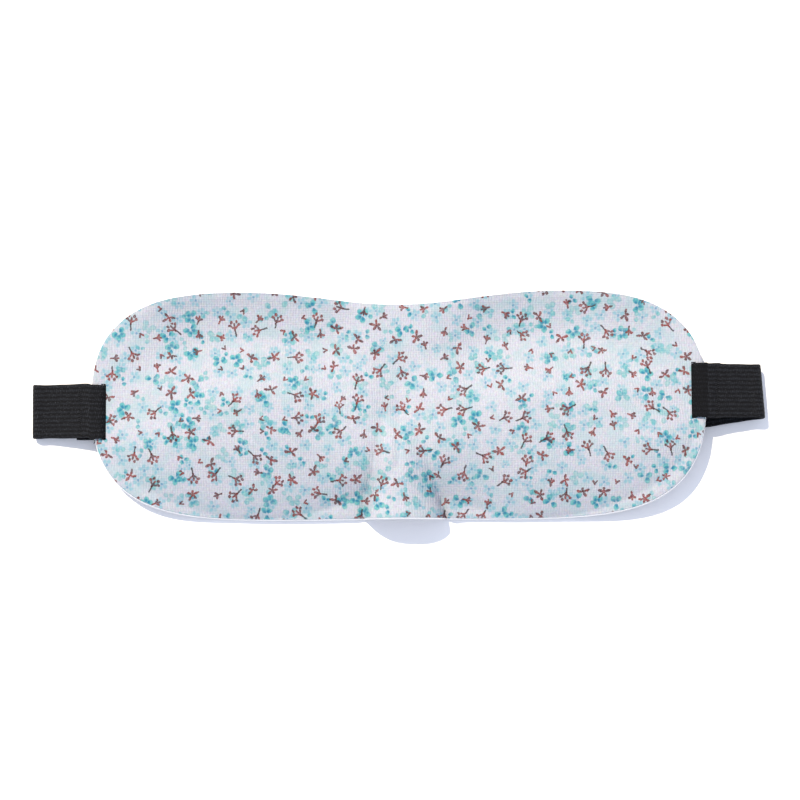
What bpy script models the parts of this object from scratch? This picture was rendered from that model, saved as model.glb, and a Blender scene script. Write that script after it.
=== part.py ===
"""Moulded two-eye sleep mask (eye patch), lying front side up with its straps folded back beneath it.

The printed front faces +Z, the brow edge faces +Y and the wearer's right-hand strap points to -X.
All driving dimensions are millimetres. The mask rests on z = 0 and is centred on the Z axis.
"""

import math

import bmesh
import bpy
import numpy as np
from mathutils import Matrix, Vector

MM = 0.001

# Outline of the moulded body
HALF_WIDTH = 115.0
BROW_HEIGHT = 43.6
BROW_DIP = 5.9
BROW_DIP_WIDTH = 38.5
CHEEK_HEIGHT = 43.4
NOSE_NOTCH = 0.3
NOSE_NOTCH_WIDTH = 24.0
SKELETON = 0.66
RIM_INSET = {"cover": 0.7, "foam": 0.0, "lining": 0.35}

# Layers of the laminate, front to back
COVER = 0.6
LINING = 0.6
GAP = 0.3
RIM = 3.6
CUP_WALL = 2.6
BRIDGE_WALL = 4.2

# Relief of the front
DOME = 10.4
DOME_AT = (52.0, -3.0)
DOME_RADII = (60.0, 38.0)
BROW_FLARE = 2.2
BROW_FLARE_DEPTH = 16.0
END_RISE = 4.2
RIGHT_LIFT = 2.5
BRIDGE_RISE = 4.5
TUNNEL_RISE = 9.0
TUNNEL_START = -4.0
TUNNEL_LENGTH = 37.0
TUNNEL_HALF_WIDTHS = (5.0, 17.5)

# Relief of the back
CAVITY_AT = (39.0, -1.0)
CAVITY_RADII = (29.0, 24.0)
STRAP_ROOM = {-1: 1.7, 1: 3.7}

# Grid of the moulded layers
COLUMNS = 40
RINGS = 7

# Elastic straps
STRAP_WIDTH = 20.0
STRAP = 1.2
SLIT_X = 110.0
SLIT = (1.8, 21.0)
HINGE_X = 121.9
HINGE_CLEAR = 0.8
TAIL_X = 120.4
BARTACK_X = 118.6
BARTACK = (1.4, 18.0, 0.5)
FOLD_CLEAR = 0.3

# Per side: strap centre in Y, hinge height, run's lower face, fold axis and slant, distance of the tip
LEFT = {
    "side": -1,
    "y": -1.5,
    "hinge_z": 6.5,
    "run_z": 0.0,
    "fold_x": 134.9,
    "fold_z": 2.4,
    "slant": 0.0,
    "tip_x": 3.0,
}
RIGHT = {
    "side": 1,
    "y": 4.5,
    "hinge_z": 9.0,
    "run_z": 1.3,
    "fold_x": 133.45,
    "fold_z": 4.45,
    "slant": 4.0,
    "tip_x": 30.0,
}

# Hook-and-loop closure and its stitching
PATCH = (36.0, 18.0, 1.0)
PATCH_FROM_TIP = 3.0
STITCH = 0.3
STITCH_INSET = 1.6

# Padded flap behind the nose bridge
NOSE_PAD = 2.0
NOSE_PAD_GAP = 0.8
NOSE_PAD_HALF_WIDTH = 11.0
NOSE_PAD_Y = (-39.0, -12.5)


def clear_scene():
    for obj in list(bpy.data.objects):
        bpy.data.objects.remove(obj, do_unlink=True)


def material(name, color, roughness):
    made = bpy.data.materials.new(name)
    made.use_nodes = True
    shader = made.node_tree.nodes["Principled BSDF"]
    shader.inputs["Base Color"].default_value = (*color, 1.0)
    shader.inputs["Roughness"].default_value = roughness
    return made


def smooth(low, high, value):
    t = min(max((value - low) / (high - low), 0.0), 1.0)
    return t * t * (3.0 - 2.0 * t)


def mix(a, b, weight):
    return a + (b - a) * weight


def outline(x, top):
    """Y of the die-cut edge at x, on the brow side or the cheek side."""
    u = min(abs(x) / HALF_WIDTH, 1.0)
    if top:
        rise = BROW_HEIGHT * (1.0 - u**5.5) ** (1 / 2.7)
        return rise - BROW_DIP * math.exp(-((x / BROW_DIP_WIDTH) ** 2)) * (1.0 - u**5.5)
    rise = CHEEK_HEIGHT * (1.0 - u**6) ** (1 / 2.3)
    return -rise + NOSE_NOTCH * math.exp(-((x / NOSE_NOTCH_WIDTH) ** 2))


def outline_middle():
    """Half the difference between the two sides' reach, which centres the mask on y = 0."""
    xs = np.linspace(-HALF_WIDTH, HALF_WIDTH, 2 * COLUMNS + 1)
    return 0.5 * (max(outline(x, True) for x in xs) + min(outline(x, False) for x in xs))


MIDDLE_Y = outline_middle()


def edge_distance(x, y):
    """Rough distance from a point to the nearest stretch of the edge."""
    vertical = min(outline(x, True) - y, y - outline(x, False))
    return max(min(vertical, 1.1 * (HALF_WIDTH - abs(x)) + 0.05 * vertical), 0.0)


def front_z(x, y):
    """Height of the printed face."""
    side = abs(x)
    lobe = smooth(14.0, 40.0, side)
    radius = math.hypot((side - DOME_AT[0]) / DOME_RADII[0], (y - DOME_AT[1]) / DOME_RADII[1])
    z = RIM + DOME * (1.0 - smooth(0.15, 1.0, radius))
    z += END_RISE * smooth(60.0, 108.0, side)
    z += RIGHT_LIFT * smooth(50.0, 110.0, x)
    brow = outline(x, True) - y
    z += lobe * BROW_FLARE * (1.0 - smooth(0.0, BROW_FLARE_DEPTH, brow)) * (1.0 - smooth(80.0, 105.0, side))
    z += BRIDGE_RISE * (1.0 - smooth(8.0, 34.0, side))
    along = (TUNNEL_START - y) / TUNNEL_LENGTH
    if along > 0.0:
        half = mix(*TUNNEL_HALF_WIDTHS, along)
        if side < half:
            z += TUNNEL_RISE * along**0.9 * (1.0 - (side / half) ** 2) ** 2
    return z


def back_z(x, y):
    """Height of the lining's face, which touches the wearer and the table."""
    side = abs(x)
    front = front_z(x, y)
    ring = -0.6 + (END_RISE + 0.6) * smooth(56.0, 106.0, side) + RIGHT_LIFT * smooth(50.0, 110.0, x)
    z = mix(ring, front - RIM, 1.0 - smooth(1.0, 10.0, edge_distance(x, y)))
    cavity = math.hypot((side - CAVITY_AT[0]) / CAVITY_RADII[0], (y - CAVITY_AT[1]) / CAVITY_RADII[1])
    z = mix(z, front - CUP_WALL, 1.0 - smooth(0.72, 1.0, cavity))
    z = mix(z, front - BRIDGE_WALL, 1.0 - smooth(9.0, 24.0, side))
    room = STRAP_ROOM[1 if x > 0 else -1] * smooth(22.0, 34.0, side)
    slope = math.tan(math.radians(2 * RIGHT["slant"]))
    strap_y = LEFT["y"] if x < 0 else RIGHT["y"] - slope * (RIGHT["fold_x"] - x)
    z = max(z, room * (1.0 - smooth(12.5, 20.0, abs(y - strap_y))), 0.0)
    return min(z, front - CUP_WALL)


def grid_points(inset):
    """Columns of (x, y) from the cheek edge over the middle line to the brow edge."""
    rows = []
    for column in range(COLUMNS + 1):
        angle = math.pi * column / COLUMNS
        x = -HALF_WIDTH * math.cos(angle + 0.22 * math.sin(2.0 * angle))
        row = []
        for ring in range(-RINGS, RINGS + 1):
            share = (abs(ring) / RINGS) ** 0.8
            edge = Vector((x, outline(x, ring > 0)))
            middle = Vector((SKELETON * x, 0.0))
            shrunk = edge - inset * edge.normalized()
            row.append(middle.lerp(shrunk, share))
        rows.append(row)
    return rows


def moulded_layer(name, inset, top_of, bottom_of, look):
    """One closed layer between two height functions, on the ring grid of the outline."""
    mesh = bmesh.new()
    rows = grid_points(inset)
    sheets = []
    for height in (top_of, bottom_of):
        sheet = []
        for row in rows:
            sheet.append([mesh.verts.new((p.x, p.y - MIDDLE_Y, height(p.x, p.y))) for p in row])
        sheets.append(sheet)
    last = 2 * RINGS
    for upper, sheet in zip((True, False), sheets):
        for a, b in zip(sheet, sheet[1:]):
            for k in range(last):
                corners = [a[k], b[k], b[k + 1], a[k + 1]]
                mesh.faces.new(corners if upper else corners[::-1])
    for k in (0, last):
        upper, lower = [column[k] for column in sheets[0]], [column[k] for column in sheets[1]]
        for a, b, c, d in zip(upper, upper[1:], lower[1:], lower):
            mesh.faces.new((a, b, c, d) if k else (d, c, b, a))
    bmesh.ops.remove_doubles(mesh, verts=mesh.verts, dist=1e-4)
    bmesh.ops.triangulate(mesh, faces=mesh.faces)
    return finish(name, mesh, look)


def finish(name, mesh, look, origin=(0.0, 0.0, 0.0)):
    """Turns a bmesh in millimetres into an object whose origin is the given point."""
    bmesh.ops.recalc_face_normals(mesh, faces=mesh.faces)
    bmesh.ops.translate(mesh, verts=mesh.verts, vec=-Vector(origin))
    bmesh.ops.scale(mesh, verts=mesh.verts, vec=(MM, MM, MM))
    data = bpy.data.meshes.new(name)
    mesh.to_mesh(data)
    mesh.free()
    data.materials.append(look)
    obj = bpy.data.objects.new(name, data)
    obj.location = Vector(origin) * MM
    bpy.context.scene.collection.objects.link(obj)
    return obj


def box(name, size, centre, look, origin=(0.0, 0.0, 0.0)):
    mesh = bmesh.new()
    bmesh.ops.create_cube(mesh, size=1.0, matrix=Matrix.LocRotScale(Vector(centre), None, Vector(size)))
    return finish(name, mesh, look, origin)


def cut(target, cutter):
    """Cuts the hidden cutter out of the target."""
    cutter.hide_render = True
    cutter.display_type = "WIRE"
    hole = target.modifiers.new(cutter.name, "BOOLEAN")
    hole.operation = "DIFFERENCE"
    hole.object = cutter


def band(name, centre_line, strap, look, origin, thickness=STRAP, width=STRAP_WIDTH):
    """Flat webbing along a centre line in X (outboard positive) and Z, extruded across the strap."""
    points = [Vector(p) for p in centre_line]
    normals = []
    for k, point in enumerate(points):
        before = (point - points[max(k - 1, 0)]).normalized()
        after = (points[min(k + 1, len(points) - 1)] - point).normalized()
        along = (before + after).normalized()
        share = max(along.dot(after if k == 0 else before), 0.5)
        normals.append(Vector((-along.y, along.x)) * (0.5 * thickness / share))
    loop = [p + n for p, n in zip(points, normals)] + [p - n for p, n in zip(points[::-1], normals[::-1])]
    mesh = bmesh.new()
    edges = []
    for y in (strap["y"] - 0.5 * width, strap["y"] + 0.5 * width):
        edges.append([mesh.verts.new((strap["side"] * p.x, y, p.y)) for p in loop])
    count = len(loop)
    for k in range(count):
        step = (k + 1) % count
        mesh.faces.new([edges[0][k], edges[0][step], edges[1][step], edges[1][k]])
    half = len(points)
    for side in edges:
        for k in range(half - 1):
            mesh.faces.new([side[k], side[k + 1], side[count - 2 - k], side[count - 1 - k]])
    return finish(name, mesh, look, origin)


def stitch_frame(name, centre, look, origin):
    """Rectangle of lock stitches round a closure patch, with its hidden cutter."""
    frame = box(name, (PATCH[0] - STITCH_INSET, PATCH[1] - STITCH_INSET, STITCH), centre, look, origin)
    inner = (PATCH[0] - STITCH_INSET - 2.0, PATCH[1] - STITCH_INSET - 2.0, 8.0 * STITCH)
    cutter = box(name + "_cutter", inner, centre, look, origin)
    cut(frame, cutter)
    return [frame, cutter]


def make_body(looks):
    layers = [
        ("front_cover", "cover", front_z, lambda x, y: front_z(x, y) - COVER),
        (
            "foam_core",
            "foam",
            lambda x, y: front_z(x, y) - COVER - GAP,
            lambda x, y: back_z(x, y) + LINING + GAP,
        ),
        ("back_lining", "lining", lambda x, y: back_z(x, y) + LINING, back_z),
    ]
    for name, kind, top_of, bottom_of in layers:
        layer = moulded_layer(name, RIM_INSET[kind], top_of, bottom_of, looks[kind])
        for strap, label in ((LEFT, "left"), (RIGHT, "right")):
            centre = (strap["side"] * SLIT_X, strap["y"], 8.0)
            size = (SLIT[0], SLIT[1], 30.0)
            cut(layer, box(f"{name}_{label}_slit_cutter", size, centre, looks[kind]))


def make_nose_pad(look):
    """Thin padded flap that follows the back of the nose bridge."""
    mesh = bmesh.new()
    across = [NOSE_PAD_HALF_WIDTH * k / 4 for k in range(-4, 5)]
    along = np.linspace(*NOSE_PAD_Y, 8)
    sheets = []
    for drop in (NOSE_PAD_GAP, NOSE_PAD_GAP + NOSE_PAD):
        sheet = []
        for y in along:
            sheet.append([mesh.verts.new((x, y - MIDDLE_Y, back_z(x, y) - drop)) for x in across])
        sheets.append(sheet)
    for sheet in sheets:
        for a, b in zip(sheet, sheet[1:]):
            for k in range(len(across) - 1):
                mesh.faces.new([a[k], a[k + 1], b[k + 1], b[k]])
    bmesh.ops.bridge_loops(mesh, edges=[e for e in mesh.edges if e.is_boundary])
    bmesh.ops.triangulate(mesh, faces=mesh.faces)
    finish("nose_pad", mesh, look)


def make_strap(strap, label, looks):
    """The stitched loop round the rim, the stub, the fold and the run beneath the mask."""
    side = strap["side"]
    rim_low = back_z(side * 113.0, 0.0)
    rim_high = rim_low + RIM
    hinge = (side * HINGE_X, strap["y"], strap["hinge_z"])
    fold_x = strap["fold_x"]
    fold = (side * fold_x, strap["y"], strap["fold_z"])
    reach = rim_high + 0.5 * STRAP + GAP
    under = rim_low - 0.5 * STRAP - GAP
    loop = [
        (TAIL_X, strap["hinge_z"] - 1.6),
        (117.6, under + 0.9),
        (115.2, under),
        (SLIT_X + 0.4, under),
        (SLIT_X, under + 0.4),
        (SLIT_X, reach - 0.4),
        (SLIT_X + 0.4, reach),
        (115.4, reach),
        (117.4, strap["hinge_z"] + 0.9),
        (HINGE_X - HINGE_CLEAR, strap["hinge_z"] + 0.1),
    ]
    band(f"{label}_strap_loop", loop, strap, looks["elastic"], (0.0, 0.0, 0.0))

    top_z = 2.0 * strap["fold_z"] - strap["run_z"] - 0.5 * STRAP
    fold_end = fold_x - FOLD_CLEAR - 0.5 * STRAP_WIDTH * math.sin(math.radians(strap["slant"]))
    stub = [
        (HINGE_X + HINGE_CLEAR, strap["hinge_z"] - 0.15),
        (HINGE_X + 6.0, mix(strap["hinge_z"], top_z, 0.62)),
        (fold_x - 2.6, top_z),
        (fold_end, top_z),
    ]
    band(f"{label}_strap_stub", stub, strap, looks["elastic"], hinge)

    radius = top_z - strap["fold_z"]
    turns = [math.pi * (0.5 - k / 10) for k in range(11)]
    arc = [(fold_x + radius * math.cos(a), strap["fold_z"] + radius * math.sin(a)) for a in turns]
    fold_piece = band(f"{label}_strap_fold", arc, strap, looks["elastic"], fold)

    run_z = strap["run_z"] + 0.5 * STRAP
    run = [(fold_end, run_z), (strap["tip_x"], run_z)]
    pieces = [band(f"{label}_strap_run", run, strap, looks["elastic"], fold)]

    facing = -1 if side > 0 else 1
    patch_z = run_z + facing * (0.5 * STRAP + GAP + 0.5 * PATCH[2])
    patch_x = side * (strap["tip_x"] + PATCH_FROM_TIP + 0.5 * PATCH[0])
    kind = "loop" if side > 0 else "hook"
    centre = (patch_x, strap["y"], patch_z)
    pieces.append(box(f"{kind}_patch", PATCH, centre, looks[kind], fold))
    stitch_z = patch_z + 0.5 * PATCH[2] + GAP + 0.5 * STITCH
    if facing < 0:
        stitch_z = run_z + 0.5 * STRAP + GAP + 0.5 * STITCH
    pieces += stitch_frame(f"{kind}_patch_stitching", (patch_x, strap["y"], stitch_z), looks["thread"], fold)

    for piece in pieces:
        piece.rotation_euler.z = math.radians(2.0 * strap["slant"])
    fold_piece.rotation_euler.z = math.radians(strap["slant"])

    tack_z = strap["hinge_z"] + 0.95 + 0.5 * STRAP + GAP
    box(f"{label}_bartack", BARTACK, (side * BARTACK_X, strap["y"], tack_z), looks["thread"])


def make_looks():
    return {
        "cover": material("printed_knit", (0.78, 0.80, 0.90), 0.7),
        "foam": material("foam", (0.93, 0.93, 0.94), 0.9),
        "lining": material("lining_knit", (0.86, 0.87, 0.90), 0.8),
        "elastic": material("black_elastic", (0.022, 0.022, 0.026), 0.75),
        "hook": material("hook_tape", (0.03, 0.03, 0.034), 0.6),
        "loop": material("loop_tape", (0.035, 0.035, 0.04), 0.9),
        "thread": material("black_thread", (0.015, 0.015, 0.018), 0.5),
    }


def main():
    clear_scene()
    looks = make_looks()
    make_body(looks)
    make_nose_pad(looks["lining"])
    make_strap(LEFT, "left", looks)
    make_strap(RIGHT, "right", looks)


main()
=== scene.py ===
"""Looks of a moulded two-eye sleep mask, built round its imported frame.

The mask lies front side up with its elastic straps folded back beneath it. Shapes are worked out in
millimetres in the frame's own axes, and each finished mesh is scaled to metres once.
"""

import math

import bmesh
import bpy
import numpy as np
from mathutils import Euler, Matrix, Vector


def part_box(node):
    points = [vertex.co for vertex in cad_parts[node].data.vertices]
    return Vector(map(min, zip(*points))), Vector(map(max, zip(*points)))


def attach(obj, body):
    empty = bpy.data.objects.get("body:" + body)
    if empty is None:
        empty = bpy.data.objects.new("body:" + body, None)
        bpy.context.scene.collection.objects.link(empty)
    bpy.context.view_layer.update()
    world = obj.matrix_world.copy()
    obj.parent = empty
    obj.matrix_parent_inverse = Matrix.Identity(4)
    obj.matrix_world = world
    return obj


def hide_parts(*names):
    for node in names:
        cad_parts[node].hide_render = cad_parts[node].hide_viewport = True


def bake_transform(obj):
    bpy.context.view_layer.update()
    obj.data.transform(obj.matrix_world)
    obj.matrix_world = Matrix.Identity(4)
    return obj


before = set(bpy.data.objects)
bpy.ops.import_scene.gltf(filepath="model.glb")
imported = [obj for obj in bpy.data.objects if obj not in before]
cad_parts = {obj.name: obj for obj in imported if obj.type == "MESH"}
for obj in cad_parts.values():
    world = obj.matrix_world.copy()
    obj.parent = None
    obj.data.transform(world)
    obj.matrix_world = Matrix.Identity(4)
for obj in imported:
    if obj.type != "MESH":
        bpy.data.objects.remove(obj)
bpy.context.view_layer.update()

MM = 0.001
SEED = 7

# Light from the key and the fill together on a level surface, relative to display white
LEVEL_LIGHT = (2.00, 1.90, 1.85)


def node_box(name):
    """Lowest and highest corner of a CAD node, in millimetres."""
    return [Vector(corner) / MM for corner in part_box(name)]


# Outline of the moulded body, as in the CAD
HALF_WIDTH = node_box("foam_core")[1].x
BROW_HEIGHT, BROW_DIP, BROW_DIP_WIDTH = 43.6, 5.9, 38.5
CHEEK_HEIGHT, NOSE_NOTCH, NOSE_NOTCH_WIDTH = 43.4, 0.3, 24.0
BROW_POWERS, CHEEK_POWERS = (5.5, 2.7), (6.0, 2.3)
SKELETON = 0.66

# Layers of the laminate, as in the CAD
COVER, LINING, GAP, RIM = 0.6, 0.6, 0.3, 3.6
CUP_WALL, BRIDGE_WALL, THINNEST_WALL = 2.6, 4.2, 1.9

# Relief of the front, a little fuller than the CAD's. Spans are distances from the middle line
DOME, DOME_AT, DOME_RADII, BROW_RADIUS = 10.4, (52.0, -3.0), (60.0, 39.5), 30.0
BROW_FLARE, BROW_FLARE_DEPTH, BROW_FLARE_SPANS = 4.4, 19.0, ((12.0, 30.0), (84.0, 108.0))
END_RISE, END_RISE_SPAN = 4.2, (60.0, 108.0)
RIGHT_LIFT, RIGHT_LIFT_SPAN = 2.5, (50.0, 110.0)
BRIDGE_RISE, BRIDGE_DEPTH, BRIDGE_SPAN = 4.5, 22.0, (8.0, 34.0)
TUNNEL_RISE, TUNNEL_START, TUNNEL_LENGTH = 12.9, -4.0, 37.0
TUNNEL_HALF_WIDTHS, TUNNEL_DRIFT, TUNNEL_SHOULDERS = (6.0, 14.8), 2.2, (3.6, 1.6)
EDGE_PINCH, EDGE_PINCH_DEPTH, EDGE_PINCH_SPAN = 0.35, 11.0, (90.0, 108.0)
HOLLOW, HOLLOW_AT, HOLLOW_RADII = 0.9, (31.0, -34.0), (10.0, 9.0)
SWELL, SWELL_SIZES = 0.16, (34.0, 21.0)

# Pressed folds beside the nose: foot, head, depth and width. A negative depth stands proud
CREASES = (
    ((-14.0, -43.0), (-11.5, -27.0), 0.7, 1.6),
    ((17.3, -43.0), (13.5, -30.0), 1.2, 1.3),
    ((20.5, -43.0), (17.0, -31.0), -0.7, 1.6),
)

# Relief of the back
RING_Z, RING_SPAN, RING_FADE = -0.6, (56.0, 106.0), (1.0, 10.0)
CAVITY_AT, CAVITY_RADII, CAVITY_FLOOR = (39.0, -1.0), (29.0, 24.0), 0.72
BRIDGE_BACK_SPAN = (9.0, 24.0)
STRAP_ROOM, STRAP_ROOM_SPAN, STRAP_ROOM_FADE = (1.7, 3.7), (22.0, 34.0), (12.5, 20.0)
SLIT_X, SLIT = 110.0, (1.8, 21.0)
PUNCH_Z, PUNCH_HEIGHT = 8.0, 40.0

# Fine grid of the visible layers
COLUMNS, RINGS = 250, 34
END_CROWDING, RIM_CROWDING = 0.22, 1.6
SHARP_ANGLE = math.radians(50.0)

# Webbing, and where it turns
STRAP_WIDTH, STRAP = 20.0, 1.2
RIB_PITCH, RIB_DEPTH = 1.6, 0.055
STRIP_STEP, STRIP_COLUMNS, SELVEDGE_POWER = 0.45, 97, 26
LOOP_SPREAD, SLIT_SQUEEZE, SQUEEZE_LENGTH = 1.025, 0.035, 1.6
HINGE_X, TAIL_X, BARTACK_X, RIM_X = 121.9, 120.4, 118.6, 113.0
JOIN_X = HINGE_X + 5.4

# Closure patches
PATCH_LENGTH, PATCH_WIDTH, PATCH_HEIGHT, PATCH_FROM_TIP = 36.0, 18.0, 1.0, 3.0
PATCH_CORNER, TAPE = 2.0, 0.45

# Per side: centre in Y, hinge height, run's lower face, fold axis and slant, distance of the tip, and the
# sideways shift and painted shade of the sewn loop
LEFT = {
    "label": "left", "side": -1, "y": -1.5, "hinge_z": 6.5, "run_z": 0.0, "fold_x": 134.9, "fold_z": 2.4,
    "slant": 0.0, "tip_x": 3.0, "loop_shift": -0.5, "loop_painted_shade": 0.15,
}
RIGHT = {
    "label": "right", "side": 1, "y": 4.5, "hinge_z": 9.0, "run_z": 1.3, "fold_x": 133.45, "fold_z": 4.45,
    "slant": 4.0, "tip_x": 30.0, "loop_shift": 0.15, "loop_painted_shade": 0.65,
}


# -------- shape of the moulded body


def smooth(low, high, value):
    t = np.clip((value - low) / (high - low), 0.0, 1.0)
    return t * t * (3.0 - 2.0 * t)


def mix(a, b, weight):
    return a + (b - a) * weight


def oval(x, y, at, radii):
    """Distance from the centre of an oval, 1 on its edge."""
    return np.hypot((x - at[0]) / radii[0], (y - at[1]) / radii[1])


def outline(x, top):
    """Y of the die-cut edge at x, on the brow side or the cheek side."""
    u = np.minimum(np.abs(x) / HALF_WIDTH, 1.0)
    ends = 1.0 - u ** BROW_POWERS[0]
    brow = BROW_HEIGHT * ends ** (1.0 / BROW_POWERS[1])
    brow = brow - BROW_DIP * np.exp(-((x / BROW_DIP_WIDTH) ** 2)) * ends
    cheek = -CHEEK_HEIGHT * (1.0 - u ** CHEEK_POWERS[0]) ** (1.0 / CHEEK_POWERS[1])
    cheek = cheek + NOSE_NOTCH * np.exp(-((x / NOSE_NOTCH_WIDTH) ** 2))
    return np.where(top, brow, cheek)


# The frame's origin lies midway between the highest and lowest point of the outline
EVEN_X = np.linspace(-HALF_WIDTH, HALF_WIDTH, 81)
MIDDLE_Y = 0.5 * float(outline(EVEN_X, True).max() + outline(EVEN_X, False).min())


def edge_distance(x, y):
    """Roughly how far a place lies in from the die-cut edge."""
    vertical = np.minimum(outline(x, True) - y, y - outline(x, False))
    from_end = 1.1 * (HALF_WIDTH - np.abs(x)) + 0.05 * vertical
    return np.maximum(np.minimum(vertical, from_end), 0.0)


def moulded_z(x, y):
    """Height of the printed face: two domes, flared brow edges, and an arch that opens over the nose."""
    side = np.abs(x)
    reach = np.where(y > DOME_AT[1], BROW_RADIUS, DOME_RADII[1])
    radius = oval(side, y, DOME_AT, (DOME_RADII[0], reach))
    brow_dome = 1.0 - smooth(0.15, 1.0, radius)
    cheek_dome = 1.0 - np.minimum(radius, 1.0) ** 2.2
    z = RIM + DOME * mix(brow_dome, cheek_dome, smooth(0.0, -18.0, y))
    z = z + END_RISE * smooth(*END_RISE_SPAN, side) + RIGHT_LIFT * smooth(*RIGHT_LIFT_SPAN, x)

    flare_in, flare_out = BROW_FLARE_SPANS
    flare = smooth(*flare_in, side) * (1.0 - smooth(*flare_out, side))
    from_brow = np.clip((outline(x, True) - y) / BROW_FLARE_DEPTH, 0.0, 1.0)
    z = z + flare * BROW_FLARE * (1.0 - from_brow) ** 2
    from_cheek = y - outline(x, False)
    z = z + BRIDGE_RISE * (1.0 - smooth(*BRIDGE_SPAN, side)) * smooth(0.0, BRIDGE_DEPTH, from_cheek)

    along = np.maximum((TUNNEL_START - y) / TUNNEL_LENGTH, 0.0)
    across = (x - TUNNEL_DRIFT * along) / mix(*TUNNEL_HALF_WIDTHS, along)
    shoulder = np.where(across < 0, *TUNNEL_SHOULDERS)
    fullness = mix(2.0, 0.5, np.minimum(along, 1.0))
    arch = np.clip(1.0 - np.abs(across) ** shoulder, 0.0, 1.0) ** fullness
    pinch = (1.0 - smooth(0.0, EDGE_PINCH_DEPTH, from_cheek)) * (1.0 - smooth(*EDGE_PINCH_SPAN, side))
    z = z - EDGE_PINCH * pinch * (1.0 - arch)
    z = z - HOLLOW * np.exp(-(oval(x, y, HOLLOW_AT, HOLLOW_RADII) ** 2))
    return z + TUNNEL_RISE * along**0.9 * arch


def waves(x, y, sizes, seed):
    """Gentle seeded undulation of about -1 to 1: crossing sine waves of the given lengths."""
    random = np.random.default_rng(seed)
    total = 0.0
    for size in sizes:
        for _ in range(3):
            turn, phase = random.uniform(0.0, 2.0 * math.pi, 2)
            total = total + np.sin(2.0 * math.pi * (x * math.cos(turn) + y * math.sin(turn)) / size + phase)
    return total / (2.0 * len(sizes))


def crease(x, y, foot, head, depth, width):
    """A pressed fold that fades out from its foot at the cheek edge to its head."""
    along = np.clip((y - foot[1]) / (head[1] - foot[1]), 0.0, 1.0)
    offset = (x - mix(foot[0], head[0], along)) / width
    fade = (1.0 - smooth(0.3, 1.0, along)) * (y < head[1])
    return -depth * fade * np.exp(-(offset**2))


def front_z(x, y):
    """Height of the printed face with the soft folds of the real cloth and foam."""
    z = moulded_z(x, y)
    z = z + SWELL * waves(x, y, SWELL_SIZES, SEED) * smooth(2.0, 12.0, edge_distance(x, y))
    for fold in CREASES:
        z = z + crease(x, y, *fold)
    return z


def back_z(x, y):
    """Height of the lining's face: the ring it lies on, eye cavities, nose bridge and room for the straps."""
    side = np.abs(x)
    front = front_z(x, y)
    from_edge = edge_distance(x, y)
    ring = RING_Z + (END_RISE - RING_Z) * smooth(*RING_SPAN, side) + RIGHT_LIFT * smooth(*RIGHT_LIFT_SPAN, x)
    z = mix(ring, front - RIM, 1.0 - smooth(*RING_FADE, from_edge))
    z = mix(z, front - CUP_WALL, 1.0 - smooth(CAVITY_FLOOR, 1.0, oval(side, y, CAVITY_AT, CAVITY_RADII)))
    z = mix(z, front - BRIDGE_WALL, 1.0 - smooth(*BRIDGE_BACK_SPAN, side))
    room = np.where(x > 0, STRAP_ROOM[1], STRAP_ROOM[0]) * smooth(*STRAP_ROOM_SPAN, side)
    slope = math.tan(math.radians(2.0 * RIGHT["slant"]))
    strap_y = np.where(x < 0, LEFT["y"], RIGHT["y"] - slope * (RIGHT["fold_x"] - x))
    z = np.maximum(z, room * (1.0 - smooth(*STRAP_ROOM_FADE, np.abs(y - strap_y))))
    wall = mix(THINNEST_WALL, CUP_WALL, smooth(0.5, 8.0, from_edge))
    return np.maximum(np.minimum(z, front - wall), 0.0)


# -------- meshes


def placed(name, data):
    """A new object in the scene."""
    made = bpy.data.objects.new(name, data)
    bpy.context.scene.collection.objects.link(made)
    return made


def finish_mesh(name, points, faces, look, uvs=None, merge=0.0):
    """Makes an object from points in millimetres. uvs holds one (u, v) per point."""
    data = bpy.data.meshes.new(name)
    data.from_pydata((np.asarray(points, float) * MM).tolist(), [], faces)
    if uvs is not None:
        layer = data.uv_layers.new(name="UVMap")
        index = np.empty(len(data.loops), np.int32)
        data.loops.foreach_get("vertex_index", index)
        layer.data.foreach_set("uv", np.asarray(uvs, np.float32)[index].ravel())
    mesh = bmesh.new()
    mesh.from_mesh(data)
    if merge:
        bmesh.ops.remove_doubles(mesh, verts=mesh.verts, dist=merge * MM)
    bmesh.ops.recalc_face_normals(mesh, faces=mesh.faces)
    mesh.to_mesh(data)
    mesh.free()
    data.shade_smooth()
    data.set_sharp_from_angle(angle=SHARP_ANGLE)
    data.materials.append(look)
    return placed(name, data)


def quads(a, b, c, d, turned):
    """Faces from arrays of their corners, turned over if asked."""
    return np.stack((d, c, b, a) if turned else (a, b, c, d), -1).reshape(-1, 4).tolist()


def slab_mesh(name, upper, lower, look):
    """One closed piece between two grids of points of the same shape."""
    rows, columns = upper.shape[:2]
    below = rows * columns
    index = np.arange(below).reshape(rows, columns)
    top = quads(index[:-1, :-1], index[:-1, 1:], index[1:, 1:], index[1:, :-1], False)
    border = np.concatenate([index[0, :-1], index[:-1, -1], index[-1, :0:-1], index[:0:-1, 0]])
    after = np.roll(border, -1)
    rim = quads(border, border + below, after + below, after, False)
    faces = top + (np.array(top)[:, ::-1] + below).tolist() + rim
    points = np.concatenate([upper.reshape(-1, 3), lower.reshape(-1, 3)])
    return finish_mesh(name, points, faces, look)


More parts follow.
